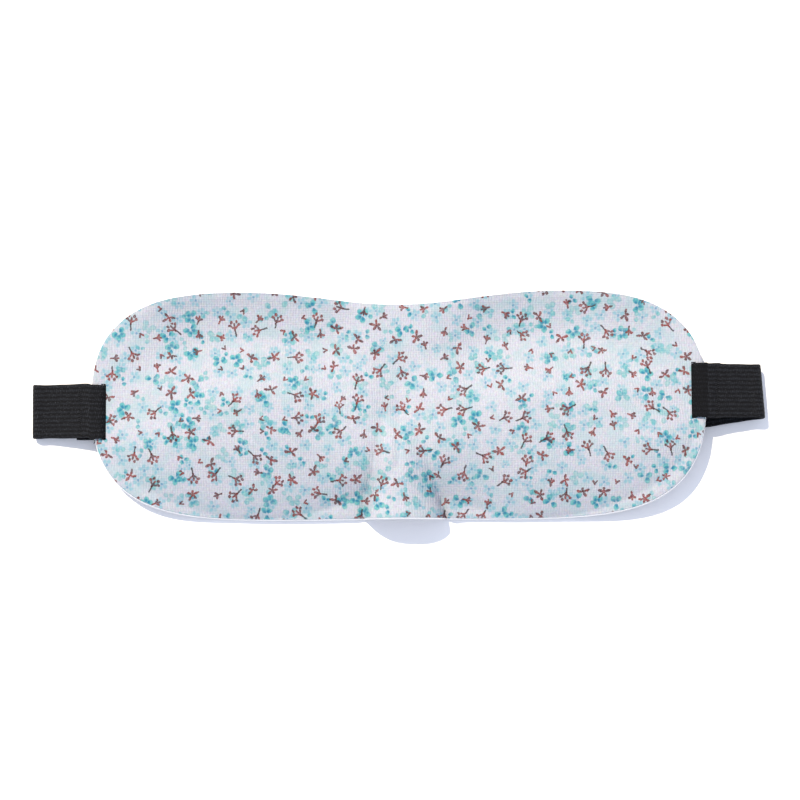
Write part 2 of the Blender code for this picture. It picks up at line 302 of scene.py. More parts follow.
def grid_xy(inset):
    """Arrays of x and y on rings from the middle line to the edge, which inset(x, y) moves in."""
    angle = np.linspace(0.0, math.pi, COLUMNS + 1)
    x = -HALF_WIDTH * np.cos(angle + END_CROWDING * np.sin(2.0 * angle))
    ring = np.linspace(-1.0, 1.0, 2 * RINGS + 1)
    share = 1.0 - (1.0 - np.abs(ring)) ** RIM_CROWDING
    x = x[:, None] + 0.0 * ring[None, :]
    edge = np.stack([x, outline(x, ring[None, :] > 0)], -1)
    middle = np.stack([SKELETON * x, 0.0 * x], -1)
    out = edge - middle
    out = out / np.linalg.norm(out, axis=-1, keepdims=True)
    moved = edge - inset(edge[..., 0], edge[..., 1])[..., None] * out
    spot = middle + share[None, :, None] * (moved - middle)
    return spot[..., 0], spot[..., 1]


def layer_mesh(name, sheets, look):
    """One closed layer from two or more stacked (inset, height) pairs, front first.

    The first and last pairs are whole faces, and the ones between them only shape the cut edge.
    """
    points, faces, rims = [], [], []
    for number, (inset, height) in enumerate(sheets):
        x, y = grid_xy(inset)
        grid = np.stack([x, y - MIDDLE_Y, height(x, y)], -1)
        whole = number in (0, len(sheets) - 1)
        if not whole:
            grid = grid[:, [0, -1]]
        index = len(points) + np.arange(grid[..., 0].size).reshape(grid.shape[:2])
        points.extend(grid.reshape(-1, 3))
        rims.append((index[:, 0], index[:, -1]))
        if whole:
            faces += quads(index[:-1, :-1], index[1:, :-1], index[1:, 1:], index[:-1, 1:], number > 0)
    for pair in zip(rims, rims[1:]):
        for k in (0, 1):
            upper, lower = pair[0][k], pair[1][k]
            faces += quads(upper[:-1], upper[1:], lower[1:], lower[:-1], k == 0)
    made = finish_mesh(name, points, faces, look, merge=0.01)
    cut_slits(made)
    return made


def cut_slits(target):
    """Punches the two strap slits through a layer and applies the cut."""
    for strap in (LEFT, RIGHT):
        mesh = bmesh.new()
        size = Vector((*SLIT, PUNCH_HEIGHT)) * MM
        centre = Vector((strap["side"] * SLIT_X, strap["y"] + strap["loop_shift"], PUNCH_Z)) * MM
        bmesh.ops.create_cube(mesh, size=1.0, matrix=Matrix.LocRotScale(centre, None, size))
        data = bpy.data.meshes.new("slit")
        mesh.to_mesh(data)
        mesh.free()
        cutter = placed("slit", data)
        hole = target.modifiers.new("slit", "BOOLEAN")
        hole.operation = "DIFFERENCE"
        hole.object = cutter
        graph = bpy.context.evaluated_depsgraph_get()
        cut = bpy.data.meshes.new_from_object(target.evaluated_get(graph))
        target.modifiers.clear()
        target.data = cut
        bpy.data.objects.remove(cutter)


def tube(points, radius, sides=6):
    """Points and faces of a round thread with closed ends along the given points."""
    line = [Vector(p) for p in points]
    verts, faces = [], []
    up = Vector((0.0, 0.0, 1.0))
    for k, here in enumerate(line):
        along = (line[min(k + 1, len(line) - 1)] - line[max(k - 1, 0)]).normalized()
        across = along.cross(up if abs(along.z) < 0.95 else Vector((1.0, 0.0, 0.0))).normalized()
        other = across.cross(along)
        for s in range(sides):
            turn = 2.0 * math.pi * s / sides
            verts.append(here + radius * (math.cos(turn) * across + math.sin(turn) * other))
        if k:
            base = (k - 1) * sides
            for s in range(sides):
                t = (s + 1) % sides
                faces.append([base + s, base + t, base + sides + t, base + sides + s])
    faces.append(list(range(sides))[::-1])
    faces.append([len(verts) - sides + s for s in range(sides)])
    return [tuple(v) for v in verts], faces


def joined(parts):
    """Puts several (points, faces) pairs into one."""
    points, faces = [], []
    for more, polygons in parts:
        start = len(points)
        points.extend(more)
        faces.extend([start + k for k in polygon] for polygon in polygons)
    return points, faces


# -------- webbing


def spline(a, b, c, d, t):
    """Point between b and c of a smooth curve through a, b, c and d."""
    slope = (c - a) * t
    square = (2 * a - 5 * b + 4 * c - d) * t**2
    cube = (3 * b - a - 3 * c + d) * t**3
    return 0.5 * (2 * b + slope + square + cube)


def curve_through(points, step):
    """Distances and places of even samples along a smooth curve through points."""
    line = [Vector(p) for p in points]
    line = [2 * line[0] - line[1]] + line + [2 * line[-1] - line[-2]]
    fine = []
    for a, b, c, d in zip(line, line[1:], line[2:], line[3:]):
        fine.extend(spline(a, b, c, d, k / 24) for k in range(24))
    fine.append(line[-2])
    fine = np.array([tuple(p) for p in fine])
    lengths = np.concatenate([[0.0], np.cumsum(np.linalg.norm(np.diff(fine, axis=0), axis=1))])
    count = max(int(round(lengths[-1] / step)), 2)
    at = np.linspace(0.0, lengths[-1], count + 1)
    return at, np.stack([np.interp(at, lengths, fine[:, k]) for k in range(fine.shape[1])], -1)


class Webbing:
    """Maps flat webbing to its place: u along it from the sewn tail, v across it, h out from its middle."""

    def __init__(self, strap):
        self.side, self.y = strap["side"], strap["y"]
        self.slant = math.radians(strap["slant"])
        self.fold_x, self.fold_z = strap["fold_x"], strap["fold_z"]
        self.radius = strap["fold_z"] - strap["run_z"] - 0.5 * STRAP
        top = strap["fold_z"] + self.radius
        lining = float(back_z(np.float64(strap["side"] * RIM_X), np.float64(0.0)))
        under = lining - 0.5 * STRAP - GAP
        over = lining + RIM + 0.5 * STRAP + GAP
        hinge = strap["hinge_z"]
        route = [
            (TAIL_X, hinge - 1.55),
            (118.8, under + 1.2),
            (117.0, under + 0.45),
            (115.0, under),
            (112.4, under),
            (SLIT_X + 0.75, under + 0.15),
            (SLIT_X, under + 1.1),
            (SLIT_X, 0.5 * (under + over)),
            (SLIT_X, over - 1.1),
            (SLIT_X + 0.75, over - 0.15),
            (112.4, over + 0.05),
            (114.6, over),
            (116.4, over - 0.5),
            (118.6, hinge + 0.75),
            (HINGE_X, hinge),
            (HINGE_X + 6.0, mix(hinge, top, 0.66)),
            (self.fold_x - 2.6, top),
            (self.fold_x, top),
        ]
        self.at, self.line = curve_through(route, 0.35)
        self.slit_u = float(self.at[np.argmin(self.line[:, 0])])
        self.fold_u = self.at[-1]
        self.join_u = self.u_at(JOIN_X)
        self.tip_u = self.fold_u + math.pi * self.radius + self.fold_x - strap["tip_x"]

    def u_at(self, x):
        """u where the outer layer, clear of the turn through the slit, reaches x."""
        clear = 4.0
        past = self.at > self.slit_u + clear
        return float(np.interp(x, self.line[past, 0], self.at[past]))

    def route_at(self, u):
        """Outward x and z of the webbing's middle at u, up to the fold."""
        return np.interp(u, self.at, self.line[:, 0]), np.interp(u, self.at, self.line[:, 1])

    def place(self, u, v, h):
        """Array of points in the frame, in millimetres, from arrays of the flat place."""
        u, v, h = np.broadcast_arrays(np.asarray(u, float), v, h)
        past = u - self.fold_u
        x, z = self.route_at(u)
        x = x + np.maximum(past, 0.0)
        step = 0.2
        ahead = self.route_at(np.minimum(u + step, self.fold_u))
        behind = self.route_at(np.maximum(np.minimum(u, self.fold_u) - step, 0.0))
        tx, tz = ahead[0] - behind[0], ahead[1] - behind[1]
        norm = np.hypot(tx, tz)
        tx, tz = tx / norm, tz / norm
        x, z, y = x - tz * h, z + tx * h, v + 0.0

        # Beyond the fold: p runs straight across the slanted fold line and a runs along it
        sine, cosine = math.sin(self.slant), math.cos(self.slant)
        p = past * cosine + v * sine
        a = v * cosine - past * sine
        turn = np.clip(p / self.radius, 0.0, math.pi)
        reach = self.radius + h
        q = reach * np.sin(turn) - np.maximum(p - math.pi * self.radius, 0.0)
        fx = self.fold_x + q * cosine - a * sine
        fy = q * sine + a * cosine
        fz = self.fold_z + reach * np.cos(turn)
        folded = p > 0.0
        x, y, z = np.where(folded, fx, x), np.where(folded, fy, y), np.where(folded, fz, z)
        return np.stack([self.side * x, y + self.y, z], -1)

    def strip(self, name, start, end, look, loop_shift=0.0):
        """A ribbed length of the webbing from u = start to u = end, its sewn loop shifted sideways."""
        count = max(int((end - start) / STRIP_STEP), 8)
        u = np.linspace(start, end, count + 1)
        half_width = 0.5 * STRAP_WIDTH
        across = np.linspace(-half_width, half_width, STRIP_COLUMNS)
        ribs = 0.5 + 0.5 * np.cos(2.0 * math.pi * across / RIB_PITCH)
        selvedge = np.sqrt(np.clip(1.0 - (np.abs(across) / half_width) ** SELVEDGE_POWER, 0.0, 1.0))
        half = (0.5 * STRAP - RIB_DEPTH * (1.0 - ribs**0.6)) * (0.25 + 0.75 * selvedge)
        v = np.concatenate([across, across[::-1]])
        h = np.concatenate([half, -half[::-1]])

        rim = self.u_at(HALF_WIDTH)
        loop = 1.0 - smooth(rim - 0.3, rim + 0.5, u)
        bend = np.exp(-(((u - self.slit_u) / SQUEEZE_LENGTH) ** 2))
        spread = 1.0 + (LOOP_SPREAD - 1.0) * loop - SLIT_SQUEEZE * bend
        wobble = 0.10 * np.sin(u / 3.1) + 0.07 * np.sin(u / 1.7 + 1.0)
        selvedge_from = 9.0
        outermost = np.where(np.abs(v) > selvedge_from, np.sign(v), 0.0)
        flat_v = v[None, :] * spread[:, None] + (loop_shift * loop)[:, None]
        flat_v = flat_v + wobble[:, None] * outermost[None, :]
        points = self.place(u[:, None], flat_v, h[None, :])

        around = len(v)
        index = np.arange((count + 1) * around).reshape(count + 1, around)
        after = np.roll(index, -1, axis=1)
        faces = quads(index[:-1], after[:-1], after[1:], index[1:], False)
        for row in (index[0], index[-1]):
            for k in range(STRIP_COLUMNS - 1):
                faces.append([row[k], row[k + 1], row[around - 2 - k], row[around - 1 - k]])
        uvs = np.stack([np.repeat(u, around), np.tile(v, count + 1)], -1)
        return finish_mesh(name, points.reshape(-1, 3), faces, look, uvs)


# -------- material nodes


class Graph:
    """Short names for the nodes of one material."""

    def __init__(self, name):
        self.material = bpy.data.materials.new(name)
        self.material.use_nodes = True
        self.tree = self.material.node_tree
        self.shader = self.tree.nodes["Principled BSDF"]

    def node(self, kind, *values, **settings):
        """A new node with its own settings, and values set or linked to its inputs in their order."""
        made = self.tree.nodes.new(kind)
        for key, value in settings.items():
            setattr(made, key, value)
        for socket, value in zip(made.inputs, values):
            self.put(socket, value)
        return made

    def put(self, socket, value):
        if isinstance(value, bpy.types.NodeSocket):
            self.tree.links.new(value, socket)
        else:
            socket.default_value = value

    def fill(self, made, **inputs):
        """Sets or links a node's inputs by name."""
        for key, value in inputs.items():
            self.put(made.inputs[key], value)
        return made

    def math(self, operation, *values, clamp=False):
        return self.node("ShaderNodeMath", *values, operation=operation, use_clamp=clamp).outputs[0]

    def times(self, a, b):
        return self.math("MULTIPLY", a, b)

    def plus(self, a, b):
        return self.math("ADD", a, b)

    def wave(self, value, length, kind="SINE"):
        """Sine or cosine of the given wavelength."""
        return self.math(kind, self.times(value, 2.0 * math.pi / length))

    def vector(self, operation, *values, scale=None):
        made = self.node("ShaderNodeVectorMath", *values, operation=operation)
        if scale is not None:
            self.put(made.inputs["Scale"], scale)
        return made.outputs["Value" if operation in ("DOT_PRODUCT", "LENGTH") else "Vector"]

    def xyz(self, vector):
        return self.node("ShaderNodeSeparateXYZ", vector).outputs

    def combine(self, x, y, z=0.0):
        return self.node("ShaderNodeCombineXYZ", x, y, z).outputs[0]

    def ramp(self, value, low, high, to_low=0.0, to_high=1.0):
        """Smooth step from to_low to to_high, as value goes from low to high."""
        values = (value, low, high, to_low, to_high)
        return self.node("ShaderNodeMapRange", *values, interpolation_type="SMOOTHSTEP").outputs[0]

    def mix(self, weight, a, b, blend="MIX"):
        made = self.node("ShaderNodeMix", data_type="RGBA", blend_type=blend)
        for socket, value in ((made.inputs[0], weight), (made.inputs[6], a), (made.inputs[7], b)):
            self.put(socket, value if isinstance(value, (float, bpy.types.NodeSocket)) else (*value, 1.0))
        return made.outputs[2]

    def noise(self, vector, scale, detail=2.0, roughness=0.5):
        made = self.node("ShaderNodeTexNoise")
        return self.fill(made, Vector=vector, Scale=scale, Detail=detail, Roughness=roughness).outputs

    def place_mm(self):
        """Object coordinates in millimetres."""
        return self.vector("SCALE", self.node("ShaderNodeTexCoord").outputs["Object"], scale=1.0 / MM)

    def bump(self, height, distance_mm):
        return self.fill(self.node("ShaderNodeBump"), Height=height, Distance=distance_mm * MM).outputs[0]

    def set(self, **inputs):
        """Sets or links the shader's inputs and gives the material back."""
        for key, value in inputs.items():
            socket = self.shader.inputs[key.replace("_", " ")]
            if isinstance(value, tuple) and socket.type == "RGBA":
                value = (*value, 1.0)
            self.put(socket, value)
        return self.material


def srgb(r, g, b):
    """Linear colour from 0 to 255 display values."""
    return tuple((c / 255 / 12.92) if c <= 10 else ((c / 255 + 0.055) / 1.055) ** 2.4 for c in (r, g, b))


def seen(r, g, b):
    """Surface colour that shows as the given display values when level and fully lit."""
    return tuple(c / light for c, light in zip(srgb(r, g, b), LEVEL_LIGHT))


# -------- printed knit


def stroke(g, place, start, end, half):
    """Mask of a straight round-ended stroke of the given half width, in motif units."""
    soft = 0.05
    along = Vector((end[0] - start[0], end[1] - start[1], 0.0))
    away = g.vector("SUBTRACT", place, (*start, 0.0))
    share = g.math("DIVIDE", g.vector("DOT_PRODUCT", away, tuple(along)), along.length_squared, clamp=True)
    off = g.vector("LENGTH", g.vector("SUBTRACT", away, g.vector("SCALE", tuple(along), scale=share)))
    return g.ramp(off, half - soft, half + soft, 1.0, 0.0)


def spot_depth(g, place, centre, radii):
    """0 at the centre of an oval spot and 1 on its edge, in motif units."""
    off = g.vector("SUBTRACT", place, (*centre, 0.0))
    return g.vector("LENGTH", g.vector("DIVIDE", off, (*radii, 1.0)))


def spot(g, place, centre, radii, soft=0.18):
    """Mask of an oval spot, in motif units."""
    return g.ramp(spot_depth(g, place, centre, radii), 1.0 - soft, 1.0 + soft, 1.0, 0.0)


def union(g, masks):
    total = masks[0]
    for mask in masks[1:]:
        total = g.math("MAXIMUM", total, mask)
    return total


class Scatter:
    """Motifs scattered one to a cell, each turned at random and sized to stay inside its cell."""

    def __init__(self, g, place, cell, shift):
        self.g = g
        moved = g.vector("ADD", g.vector("SCALE", place, scale=1.0 / cell), (shift, 1.7 * shift, 0.0))
        flat = g.vector("MULTIPLY", moved, (1.0, 1.0, 0.0))
        cells = g.node("ShaderNodeTexVoronoi", voronoi_dimensions="2D", feature="F1")
        room = g.node("ShaderNodeTexVoronoi", voronoi_dimensions="2D", feature="N_SPHERE_RADIUS")
        for made in (cells, room):
            g.fill(made, Vector=flat, Scale=1.0, Randomness=0.75)
        picks = g.node("ShaderNodeSeparateColor", cells.outputs["Color"])
        self.kind, self.turn, self.other = picks.outputs
        self.local = g.vector("SCALE", g.vector("SUBTRACT", flat, cells.outputs["Position"]), scale=cell)
        self.room = g.times(room.outputs["Radius"], cell)

    def motif(self, size, fill=1.15):
        """Turned local place in motif units, where 1 is size millimetres or the room there is."""
        g = self.g
        turned = g.node("ShaderNodeVectorRotate", rotation_type="Z_AXIS")
        g.fill(turned, Vector=self.local, Angle=g.times(self.turn, 2.0 * math.pi))
        unit = g.math("MINIMUM", g.times(self.room, fill), size)
        return g.vector("SCALE", turned.outputs[0], scale=g.math("DIVIDE", 1.0, unit))

    def share(self, low, high, mask):
        """The mask, kept in the cells whose random pick lies between low and high."""
        g = self.g
        inside = g.times(g.math("GREATER_THAN", self.kind, low), g.math("LESS_THAN", self.kind, high))
        return g.times(mask, inside)


def mirrored(g, place):
    """Folds the plane at its Y axis."""
    x, y, _ = g.xyz(place)
    return g.combine(g.math("ABSOLUTE", x), y)


def sectors(g, place, count):
    """Folds the plane into equal numbered sectors, with +X down the middle of each."""
    x, y, _ = g.xyz(place)
    around = g.plus(g.math("ARCTAN2", y, x), math.pi)
    step = 2.0 * math.pi / count
    number = g.math("FLOOR", g.math("DIVIDE", around, step))
    inner = g.math("SUBTRACT", around, g.times(g.plus(number, 0.5), step))
    radius = g.vector("LENGTH", place)
    along = g.times(radius, g.math("COSINE", inner))
    return g.combine(along, g.times(radius, g.math("SINE", inner))), number


def sector_pick(g, number, step, motif_pick, times):
    """A value from 0 to 1 that differs between the sectors of a motif and between motifs."""
    return g.math("FRACT", g.plus(g.times(number, step), g.times(motif_pick, times)))


def star_twig(g, place, motif_pick):
    """Irregular star of leafy strokes, one of them missing now and then."""
    folded, number = sectors(g, place, 5)
    pick = sector_pick(g, number, 0.381, motif_pick, 5.0)
    length = g.plus(g.times(pick, 0.62), 0.50)
    folded = g.vector("DIVIDE", folded, g.combine(length, 1.0, 1.0))
    stem = stroke(g, folded, (0.0, 0.0), (0.86, 0.0), 0.14)
    star = union(g, [stem, spot(g, folded, (0.62, 0.0), (0.36, 0.195))])
    return g.times(star, g.math("GREATER_THAN", pick, 0.12))


def berry_sprig(g, place):
    """Twig with berries about its head, and the mask of its dark stalk."""
    half = mirrored(g, place)
    red = [
        stroke(g, place, (0.0, -0.45), (0.0, 0.36), 0.14),
        stroke(g, half, (0.0, -0.28), (0.40, 0.02), 0.13),
        spot(g, half, (0.64, 0.22), (0.24, 0.195)),
        spot(g, half, (0.36, 0.62), (0.195, 0.25)),
    ]
    return union(g, red), stroke(g, place, (0.10, -1.28), (0.0, -0.40), 0.11)


def bird_foot(g, place):
    """Stem with two thick side strokes."""
    half = mirrored(g, place)
    strokes = [
        stroke(g, place, (0.0, -0.72), (0.0, 0.72), 0.165),
        stroke(g, half, (0.0, -0.12), (0.50, 0.44), 0.165),
        spot(g, half, (0.44, 0.36), (0.27, 0.23)),
    ]
    return union(g, strokes)


def small_bow(g, place):
    """Two short strokes that meet in a spot."""
    wing = stroke(g, mirrored(g, place), (0.02, -0.42), (0.54, 0.36), 0.25)
    return union(g, [wing, spot(g, place, (0.0, -0.4), (0.3, 0.34))])


def plain_knit(g, place):
    """Colour and height of white knit: fine wales down it with painted shade in their grooves, fainter
    courses across it, and speckle.
    """
    x, y, _ = g.xyz(place)
    uneven = g.noise(place, 1.5, 2.0)[0]
    wander = g.times(g.noise(place, 0.25, 1.0)[0], 1.2)
    wales = g.wave(g.plus(x, wander), 0.98)
    courses = g.wave(y, 0.85)
    fibre = g.noise(g.vector("MULTIPLY", place, (2.4, 0.8, 1.0)), 1.0, 3.0, 0.7)[0]
    cloth = g.mix(g.ramp(fibre, 0.28, 0.72), seen(216, 215, 227), seen(237, 238, 246))
    # Painted shade: the cloth is darkened down the grooves between the wales
    painted_wale_shade = g.times(g.ramp(wales, -1.0, 0.0, 1.0, 0.0), g.ramp(uneven, 0.3, 0.7, 0.08, 0.30))
    cloth = g.mix(painted_wale_shade, cloth, seen(205, 200, 216))
    cloth = g.mix(0.24, cloth, g.noise(place, 1.0, 3.0, 0.8)["Color"], "OVERLAY")
    height = g.plus(g.times(wales, 0.30), g.times(courses, 0.12))
    height = g.plus(height, g.times(uneven, 0.8))
    return cloth, g.plus(height, g.times(fibre, 0.6))


def blossoms(g, drawn, cloth):
    """Pale blossoms with a blue eye."""
    pale = Scatter(g, drawn, cell=6.9, shift=3.3)
    blossom = pale.motif(size=2.45, fill=1.25)
    folded, number = sectors(g, blossom, 6)
    pick = sector_pick(g, number, 0.43, pale.other, 7.0)
    petals = g.times(spot(g, folded, (0.60, 0.0), (0.33, 0.27), 0.55), g.ramp(pick, 0.1, 0.5, 0.25, 1.0))
    petals = pale.share(0.0, 0.86, petals)
    cloth = g.mix(g.times(petals, 0.85), cloth, seen(158, 210, 224))
    eye = pale.share(0.0, 0.86, spot(g, blossom, (0.0, 0.0), (0.20, 0.20), 0.5))
    return g.mix(g.times(eye, 0.75), cloth, seen(84, 164, 200))


def wet_petals(g, drawn, wash, cloth, cell, shift, size, bunch, share):
    """Watercolour petals in loose bunches, pairs and single drops, darker at their rims."""
    wet = Scatter(g, drawn, cell, shift)
    folded, number = sectors(g, wet.motif(size, 1.3), bunch)
    pick = sector_pick(g, number, 0.37, wet.other, 7.0)
    depth = spot_depth(g, folded, (0.56, 0.0), (0.44, 0.37))
    shape = g.times(g.ramp(depth, 0.66, 1.22, 1.0, 0.0), g.math("GREATER_THAN", pick, 0.30))
    shape = wet.share(0.0, share, shape)
    petal = g.mix(wash, seen(146, 220, 212), seen(112, 200, 208))
    petal = g.mix(g.ramp(depth, 0.45, 0.95, 0.0, 0.65), petal, seen(66, 172, 182))
    deep = g.times(spot(g, folded, (0.38, 0.08), (0.26, 0.22), 0.7), g.ramp(wet.other, 0.3, 0.7))
    petal = g.mix(g.times(deep, 0.85), petal, seen(44, 138, 178))
    strength = g.ramp(g.plus(wet.other, g.times(wash, 0.3)), 0.1, 1.1, 0.48, 1.0)
    return g.mix(g.times(shape, strength), cloth, petal)


def red_twigs(g, place, drawn, cloth):
    """Brick-red stars, sprigs, bird's feet and bows, uneven in their ink."""
    twigs = Scatter(g, drawn, cell=7.7, shift=5.2)
    berries, stalk = berry_sprig(g, twigs.motif(size=2.75, fill=1.5))
    red = [
        twigs.share(0.0, 0.30, star_twig(g, twigs.motif(size=2.65, fill=1.35), twigs.other)),
        twigs.share(0.30, 0.54, berries),
        twigs.share(0.54, 0.76, bird_foot(g, twigs.motif(size=2.05))),
        twigs.share(0.76, 1.0, small_bow(g, twigs.motif(size=1.35))),
    ]
    grain = g.ramp(g.noise(place, 2.2, 2.0, 0.6)[0], 0.3, 0.65, 0.70, 1.0)
    ink = g.mix(g.ramp(g.noise(place, 0.45, 1.0)[0], 0.4, 0.6), seen(158, 60, 50), seen(98, 36, 34))
    cloth = g.mix(g.times(twigs.share(0.30, 0.54, stalk), 0.9), cloth, seen(78, 66, 68))
    return g.mix(g.times(union(g, red), g.times(grain, 0.96)), cloth, ink)


def printed_knit():
    """White knit with a small all-over floral print of the kind sold as ditsy."""
    g = Graph("printed_knit")
    place = g.place_mm()
    cloth, height = plain_knit(g, place)

    # The print is drawn a little shaken, over a faint mint haze
    shake = g.vector("SUBTRACT", g.noise(place, 0.8, 3.0, 0.75)["Color"], (0.5, 0.5, 0.5))
    drawn = g.vector("ADD", place, g.vector("SCALE", shake, scale=1.15))
    haze = g.ramp(g.noise(place, 0.17, 2.0)[0], 0.46, 0.66)
    cloth = g.mix(g.times(haze, 0.42), cloth, seen(186, 224, 228))
    cloth = blossoms(g, drawn, cloth)
    wash = g.ramp(g.noise(place, 0.9, 2.0)[0], 0.35, 0.65)
    cloth = wet_petals(g, drawn, wash, cloth, cell=8.8, shift=11.9, size=2.9, bunch=5, share=0.66)
    cloth = wet_petals(g, drawn, wash, cloth, cell=7.6, shift=21.7, size=2.1, bunch=3, share=0.55)
    cloth = red_twigs(g, place, drawn, cloth)
    g.set(Base_Color=cloth, Roughness=0.8, Normal=g.bump(height, 0.12))
    return g.set(Sheen_Weight=0.05, Sheen_Roughness=0.5, Specular_IOR_Level=0.15)


def foam_look():
    """White closed-cell foam, faintly pitted."""
    g = Graph("foam")
    place = g.place_mm()
    cells = g.fill(g.node("ShaderNodeTexVoronoi", feature="F1"), Vector=place, Scale=2.6)
    rough = g.noise(place, 1.6, 3.0, 0.6)[0]
    colour = g.mix(g.ramp(rough, 0.3, 0.7), (0.80, 0.81, 0.83), (0.89, 0.90, 0.91))
    g.set(Base_Color=colour, Roughness=0.92, Normal=g.bump(cells.outputs["Distance"], 0.25))
    return g.set(Subsurface_Weight=0.12, Subsurface_Radius=(0.6, 0.6, 0.7), Subsurface_Scale=0.002)


def lining_look(name, light, dark):
    """Soft brushed knit."""
    g = Graph(name)
    place = g.place_mm()
    x, y, _ = g.xyz(place)
    nap = g.noise(place, 2.2, 4.0, 0.7)[0]
    broad = g.noise(place, 0.06, 2.0)[0]
    colour = g.mix(g.ramp(nap, 0.3, 0.7), dark, light)
    colour = g.mix(g.times(g.ramp(broad, 0.4, 0.7), 0.25), colour, dark)
    stitches = g.times(g.wave(x, 0.8), g.wave(y, 0.8))
    height = g.plus(g.times(stitches, 0.3), nap)
    g.set(Base_Color=colour, Roughness=0.85, Normal=g.bump(height, 0.22))
    return g.set(Sheen_Weight=0.35, Sheen_Roughness=0.5, Specular_IOR_Level=0.2)


def elastic_look(name, rim_u, loop_painted_shade):
    """Black ribbed webbing: ribs along it with painted shade in their grooves, a fine weave of short floats
    across them with painted highlights, and stray specks.

    The loop round the rim, up to rim_u, gets painted shade and shows darker.
    """
    g = Graph(name)
    along, across, _ = g.xyz(g.node("ShaderNodeTexCoord").outputs["UV"])
    place = g.combine(along, across)

    def stretched(stretch, scale, roughness=0.5, detail=2.0):
        return g.noise(g.vector("MULTIPLY", place, (*stretch, 1.0)), scale, detail, roughness)[0]

    wander = g.times(stretched((0.5, 0.25), 1.0), 0.8)
    ribs = g.wave(g.plus(across, wander), RIB_PITCH, "COSINE")
    number = g.math("FLOOR", g.plus(g.math("DIVIDE", across, RIB_PITCH), 0.5))
    phase = g.plus(g.math("DIVIDE", along, 0.8), g.times(number, 0.5))
    floats = g.times(g.ramp(g.wave(phase, 1.0), 0.0, 0.9), g.ramp(ribs, -0.2, 0.7))
    yarn = stretched((1.0, 2.6), 2.0, 0.65, 3.0)
    flecks = g.ramp(stretched((0.8, 1.3), 2.2, 0.6), 0.58, 0.70)
    patchy = g.ramp(stretched((0.35, 1.0), 0.8), 0.35, 0.65, 0.35, 1.0)
    # Painted shade in the grooves between the ribs and painted light on the rib tops, patchy in strength
    colour = g.mix(g.times(g.ramp(ribs, -0.8, 0.6), patchy), seen(20, 20, 23), seen(36, 37, 42))
    # Painted highlights on the weave floats
    painted_float_highlight = g.times(floats, g.ramp(yarn, 0.35, 0.7))
    colour = g.mix(g.times(painted_float_highlight, 0.8), colour, seen(82, 84, 90))
    colour = g.mix(g.times(flecks, 0.55), colour, seen(104, 106, 112))
    # Painted shade darkens the loop round the rim
    painted_loop_shade = g.ramp(along, rim_u - 0.3, rim_u + 0.3, loop_painted_shade, 0.0)
    colour = g.mix(painted_loop_shade, colour, seen(14, 14, 17))
    height = g.plus(g.times(floats, 0.5), yarn)
    g.set(Base_Color=colour, Roughness=0.75, Normal=g.bump(height, 0.18))
    return g.set(Sheen_Weight=0.02, Sheen_Roughness=0.4, Specular_IOR_Level=0.1)


def dark_look(name, colour, roughness, grain):
    """Plain dark synthetic with paler specks."""
    g = Graph(name)
    speck = g.noise(g.place_mm(), grain, 3.0, 0.6)[0]
    paler = tuple(1.9 * c + 0.01 for c in colour)
    colour = g.mix(g.ramp(speck, 0.35, 0.75), colour, paler)
    return g.set(Base_Color=colour, Roughness=roughness, Normal=g.bump(speck, 0.12))


# -------- pieces


def make_body(looks):
    """Printed cover, foam and lining, each riding on the mask."""

    def rolled(x, y):
        """The cover's face, pinched down at the pressed edge."""
        pinch, start, end = 0.3, 0.6, 2.6
        return front_z(x, y) - pinch * (1.0 - smooth(start, end, edge_distance(x, y)))

    def wall(x, y, depth):
        """Height on the foam's cut edge, at a depth from 0 under the cover to 1 over the lining."""
        return mix(rolled(x, y) - COVER, back_z(x, y) + LINING, depth)

    def slant(depth, more=0.02):
        """Inset of the cut edge at a depth from 0 to 1: it leans out more on the cheek side."""
        cheek_lean, brow_lean = 0.55, 0.45
        return lambda x, y: np.where(y < 0, cheek_lean, brow_lean) * (1.0 - depth) + more

    cover = layer_mesh(
        "printed_cover",
        [
            (slant(0.0, 0.17), rolled),
            (slant(0.0), lambda x, y: rolled(x, y) - 0.2),
            (slant(0.0, 0.07), lambda x, y: rolled(x, y) - COVER + 0.1),
        ],
        looks["cover"],
    )
    foam = layer_mesh(
        "foam_body",
        [
            (slant(0.08), lambda x, y: rolled(x, y) - COVER),
            (slant(0.35), lambda x, y: wall(x, y, 0.33) + 0.04 * waves(x, y, (2.3, 1.4), 3)),
            (slant(0.7), lambda x, y: wall(x, y, 0.67) + 0.04 * waves(x, y, (2.6, 1.7), 4)),
            (slant(0.95), lambda x, y: back_z(x, y) + LINING + 0.1),
        ],
        looks["foam"],
    )
    lining = layer_mesh(
        "soft_lining",
        [
            (slant(0.92), lambda x, y: back_z(x, y) + LINING - 0.05),
            (slant(1.0), lambda x, y: back_z(x, y) + 0.3),
            (slant(0.88), back_z),
        ],
        looks["lining"],
    )
    for piece, node, slot in (
        (cover, "front_cover", "printed_knit"),
        (foam, "foam_core", "foam"),
        (lining, "back_lining", "lining_knit"),
    ):
        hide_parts(node)
        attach(piece, "mask")


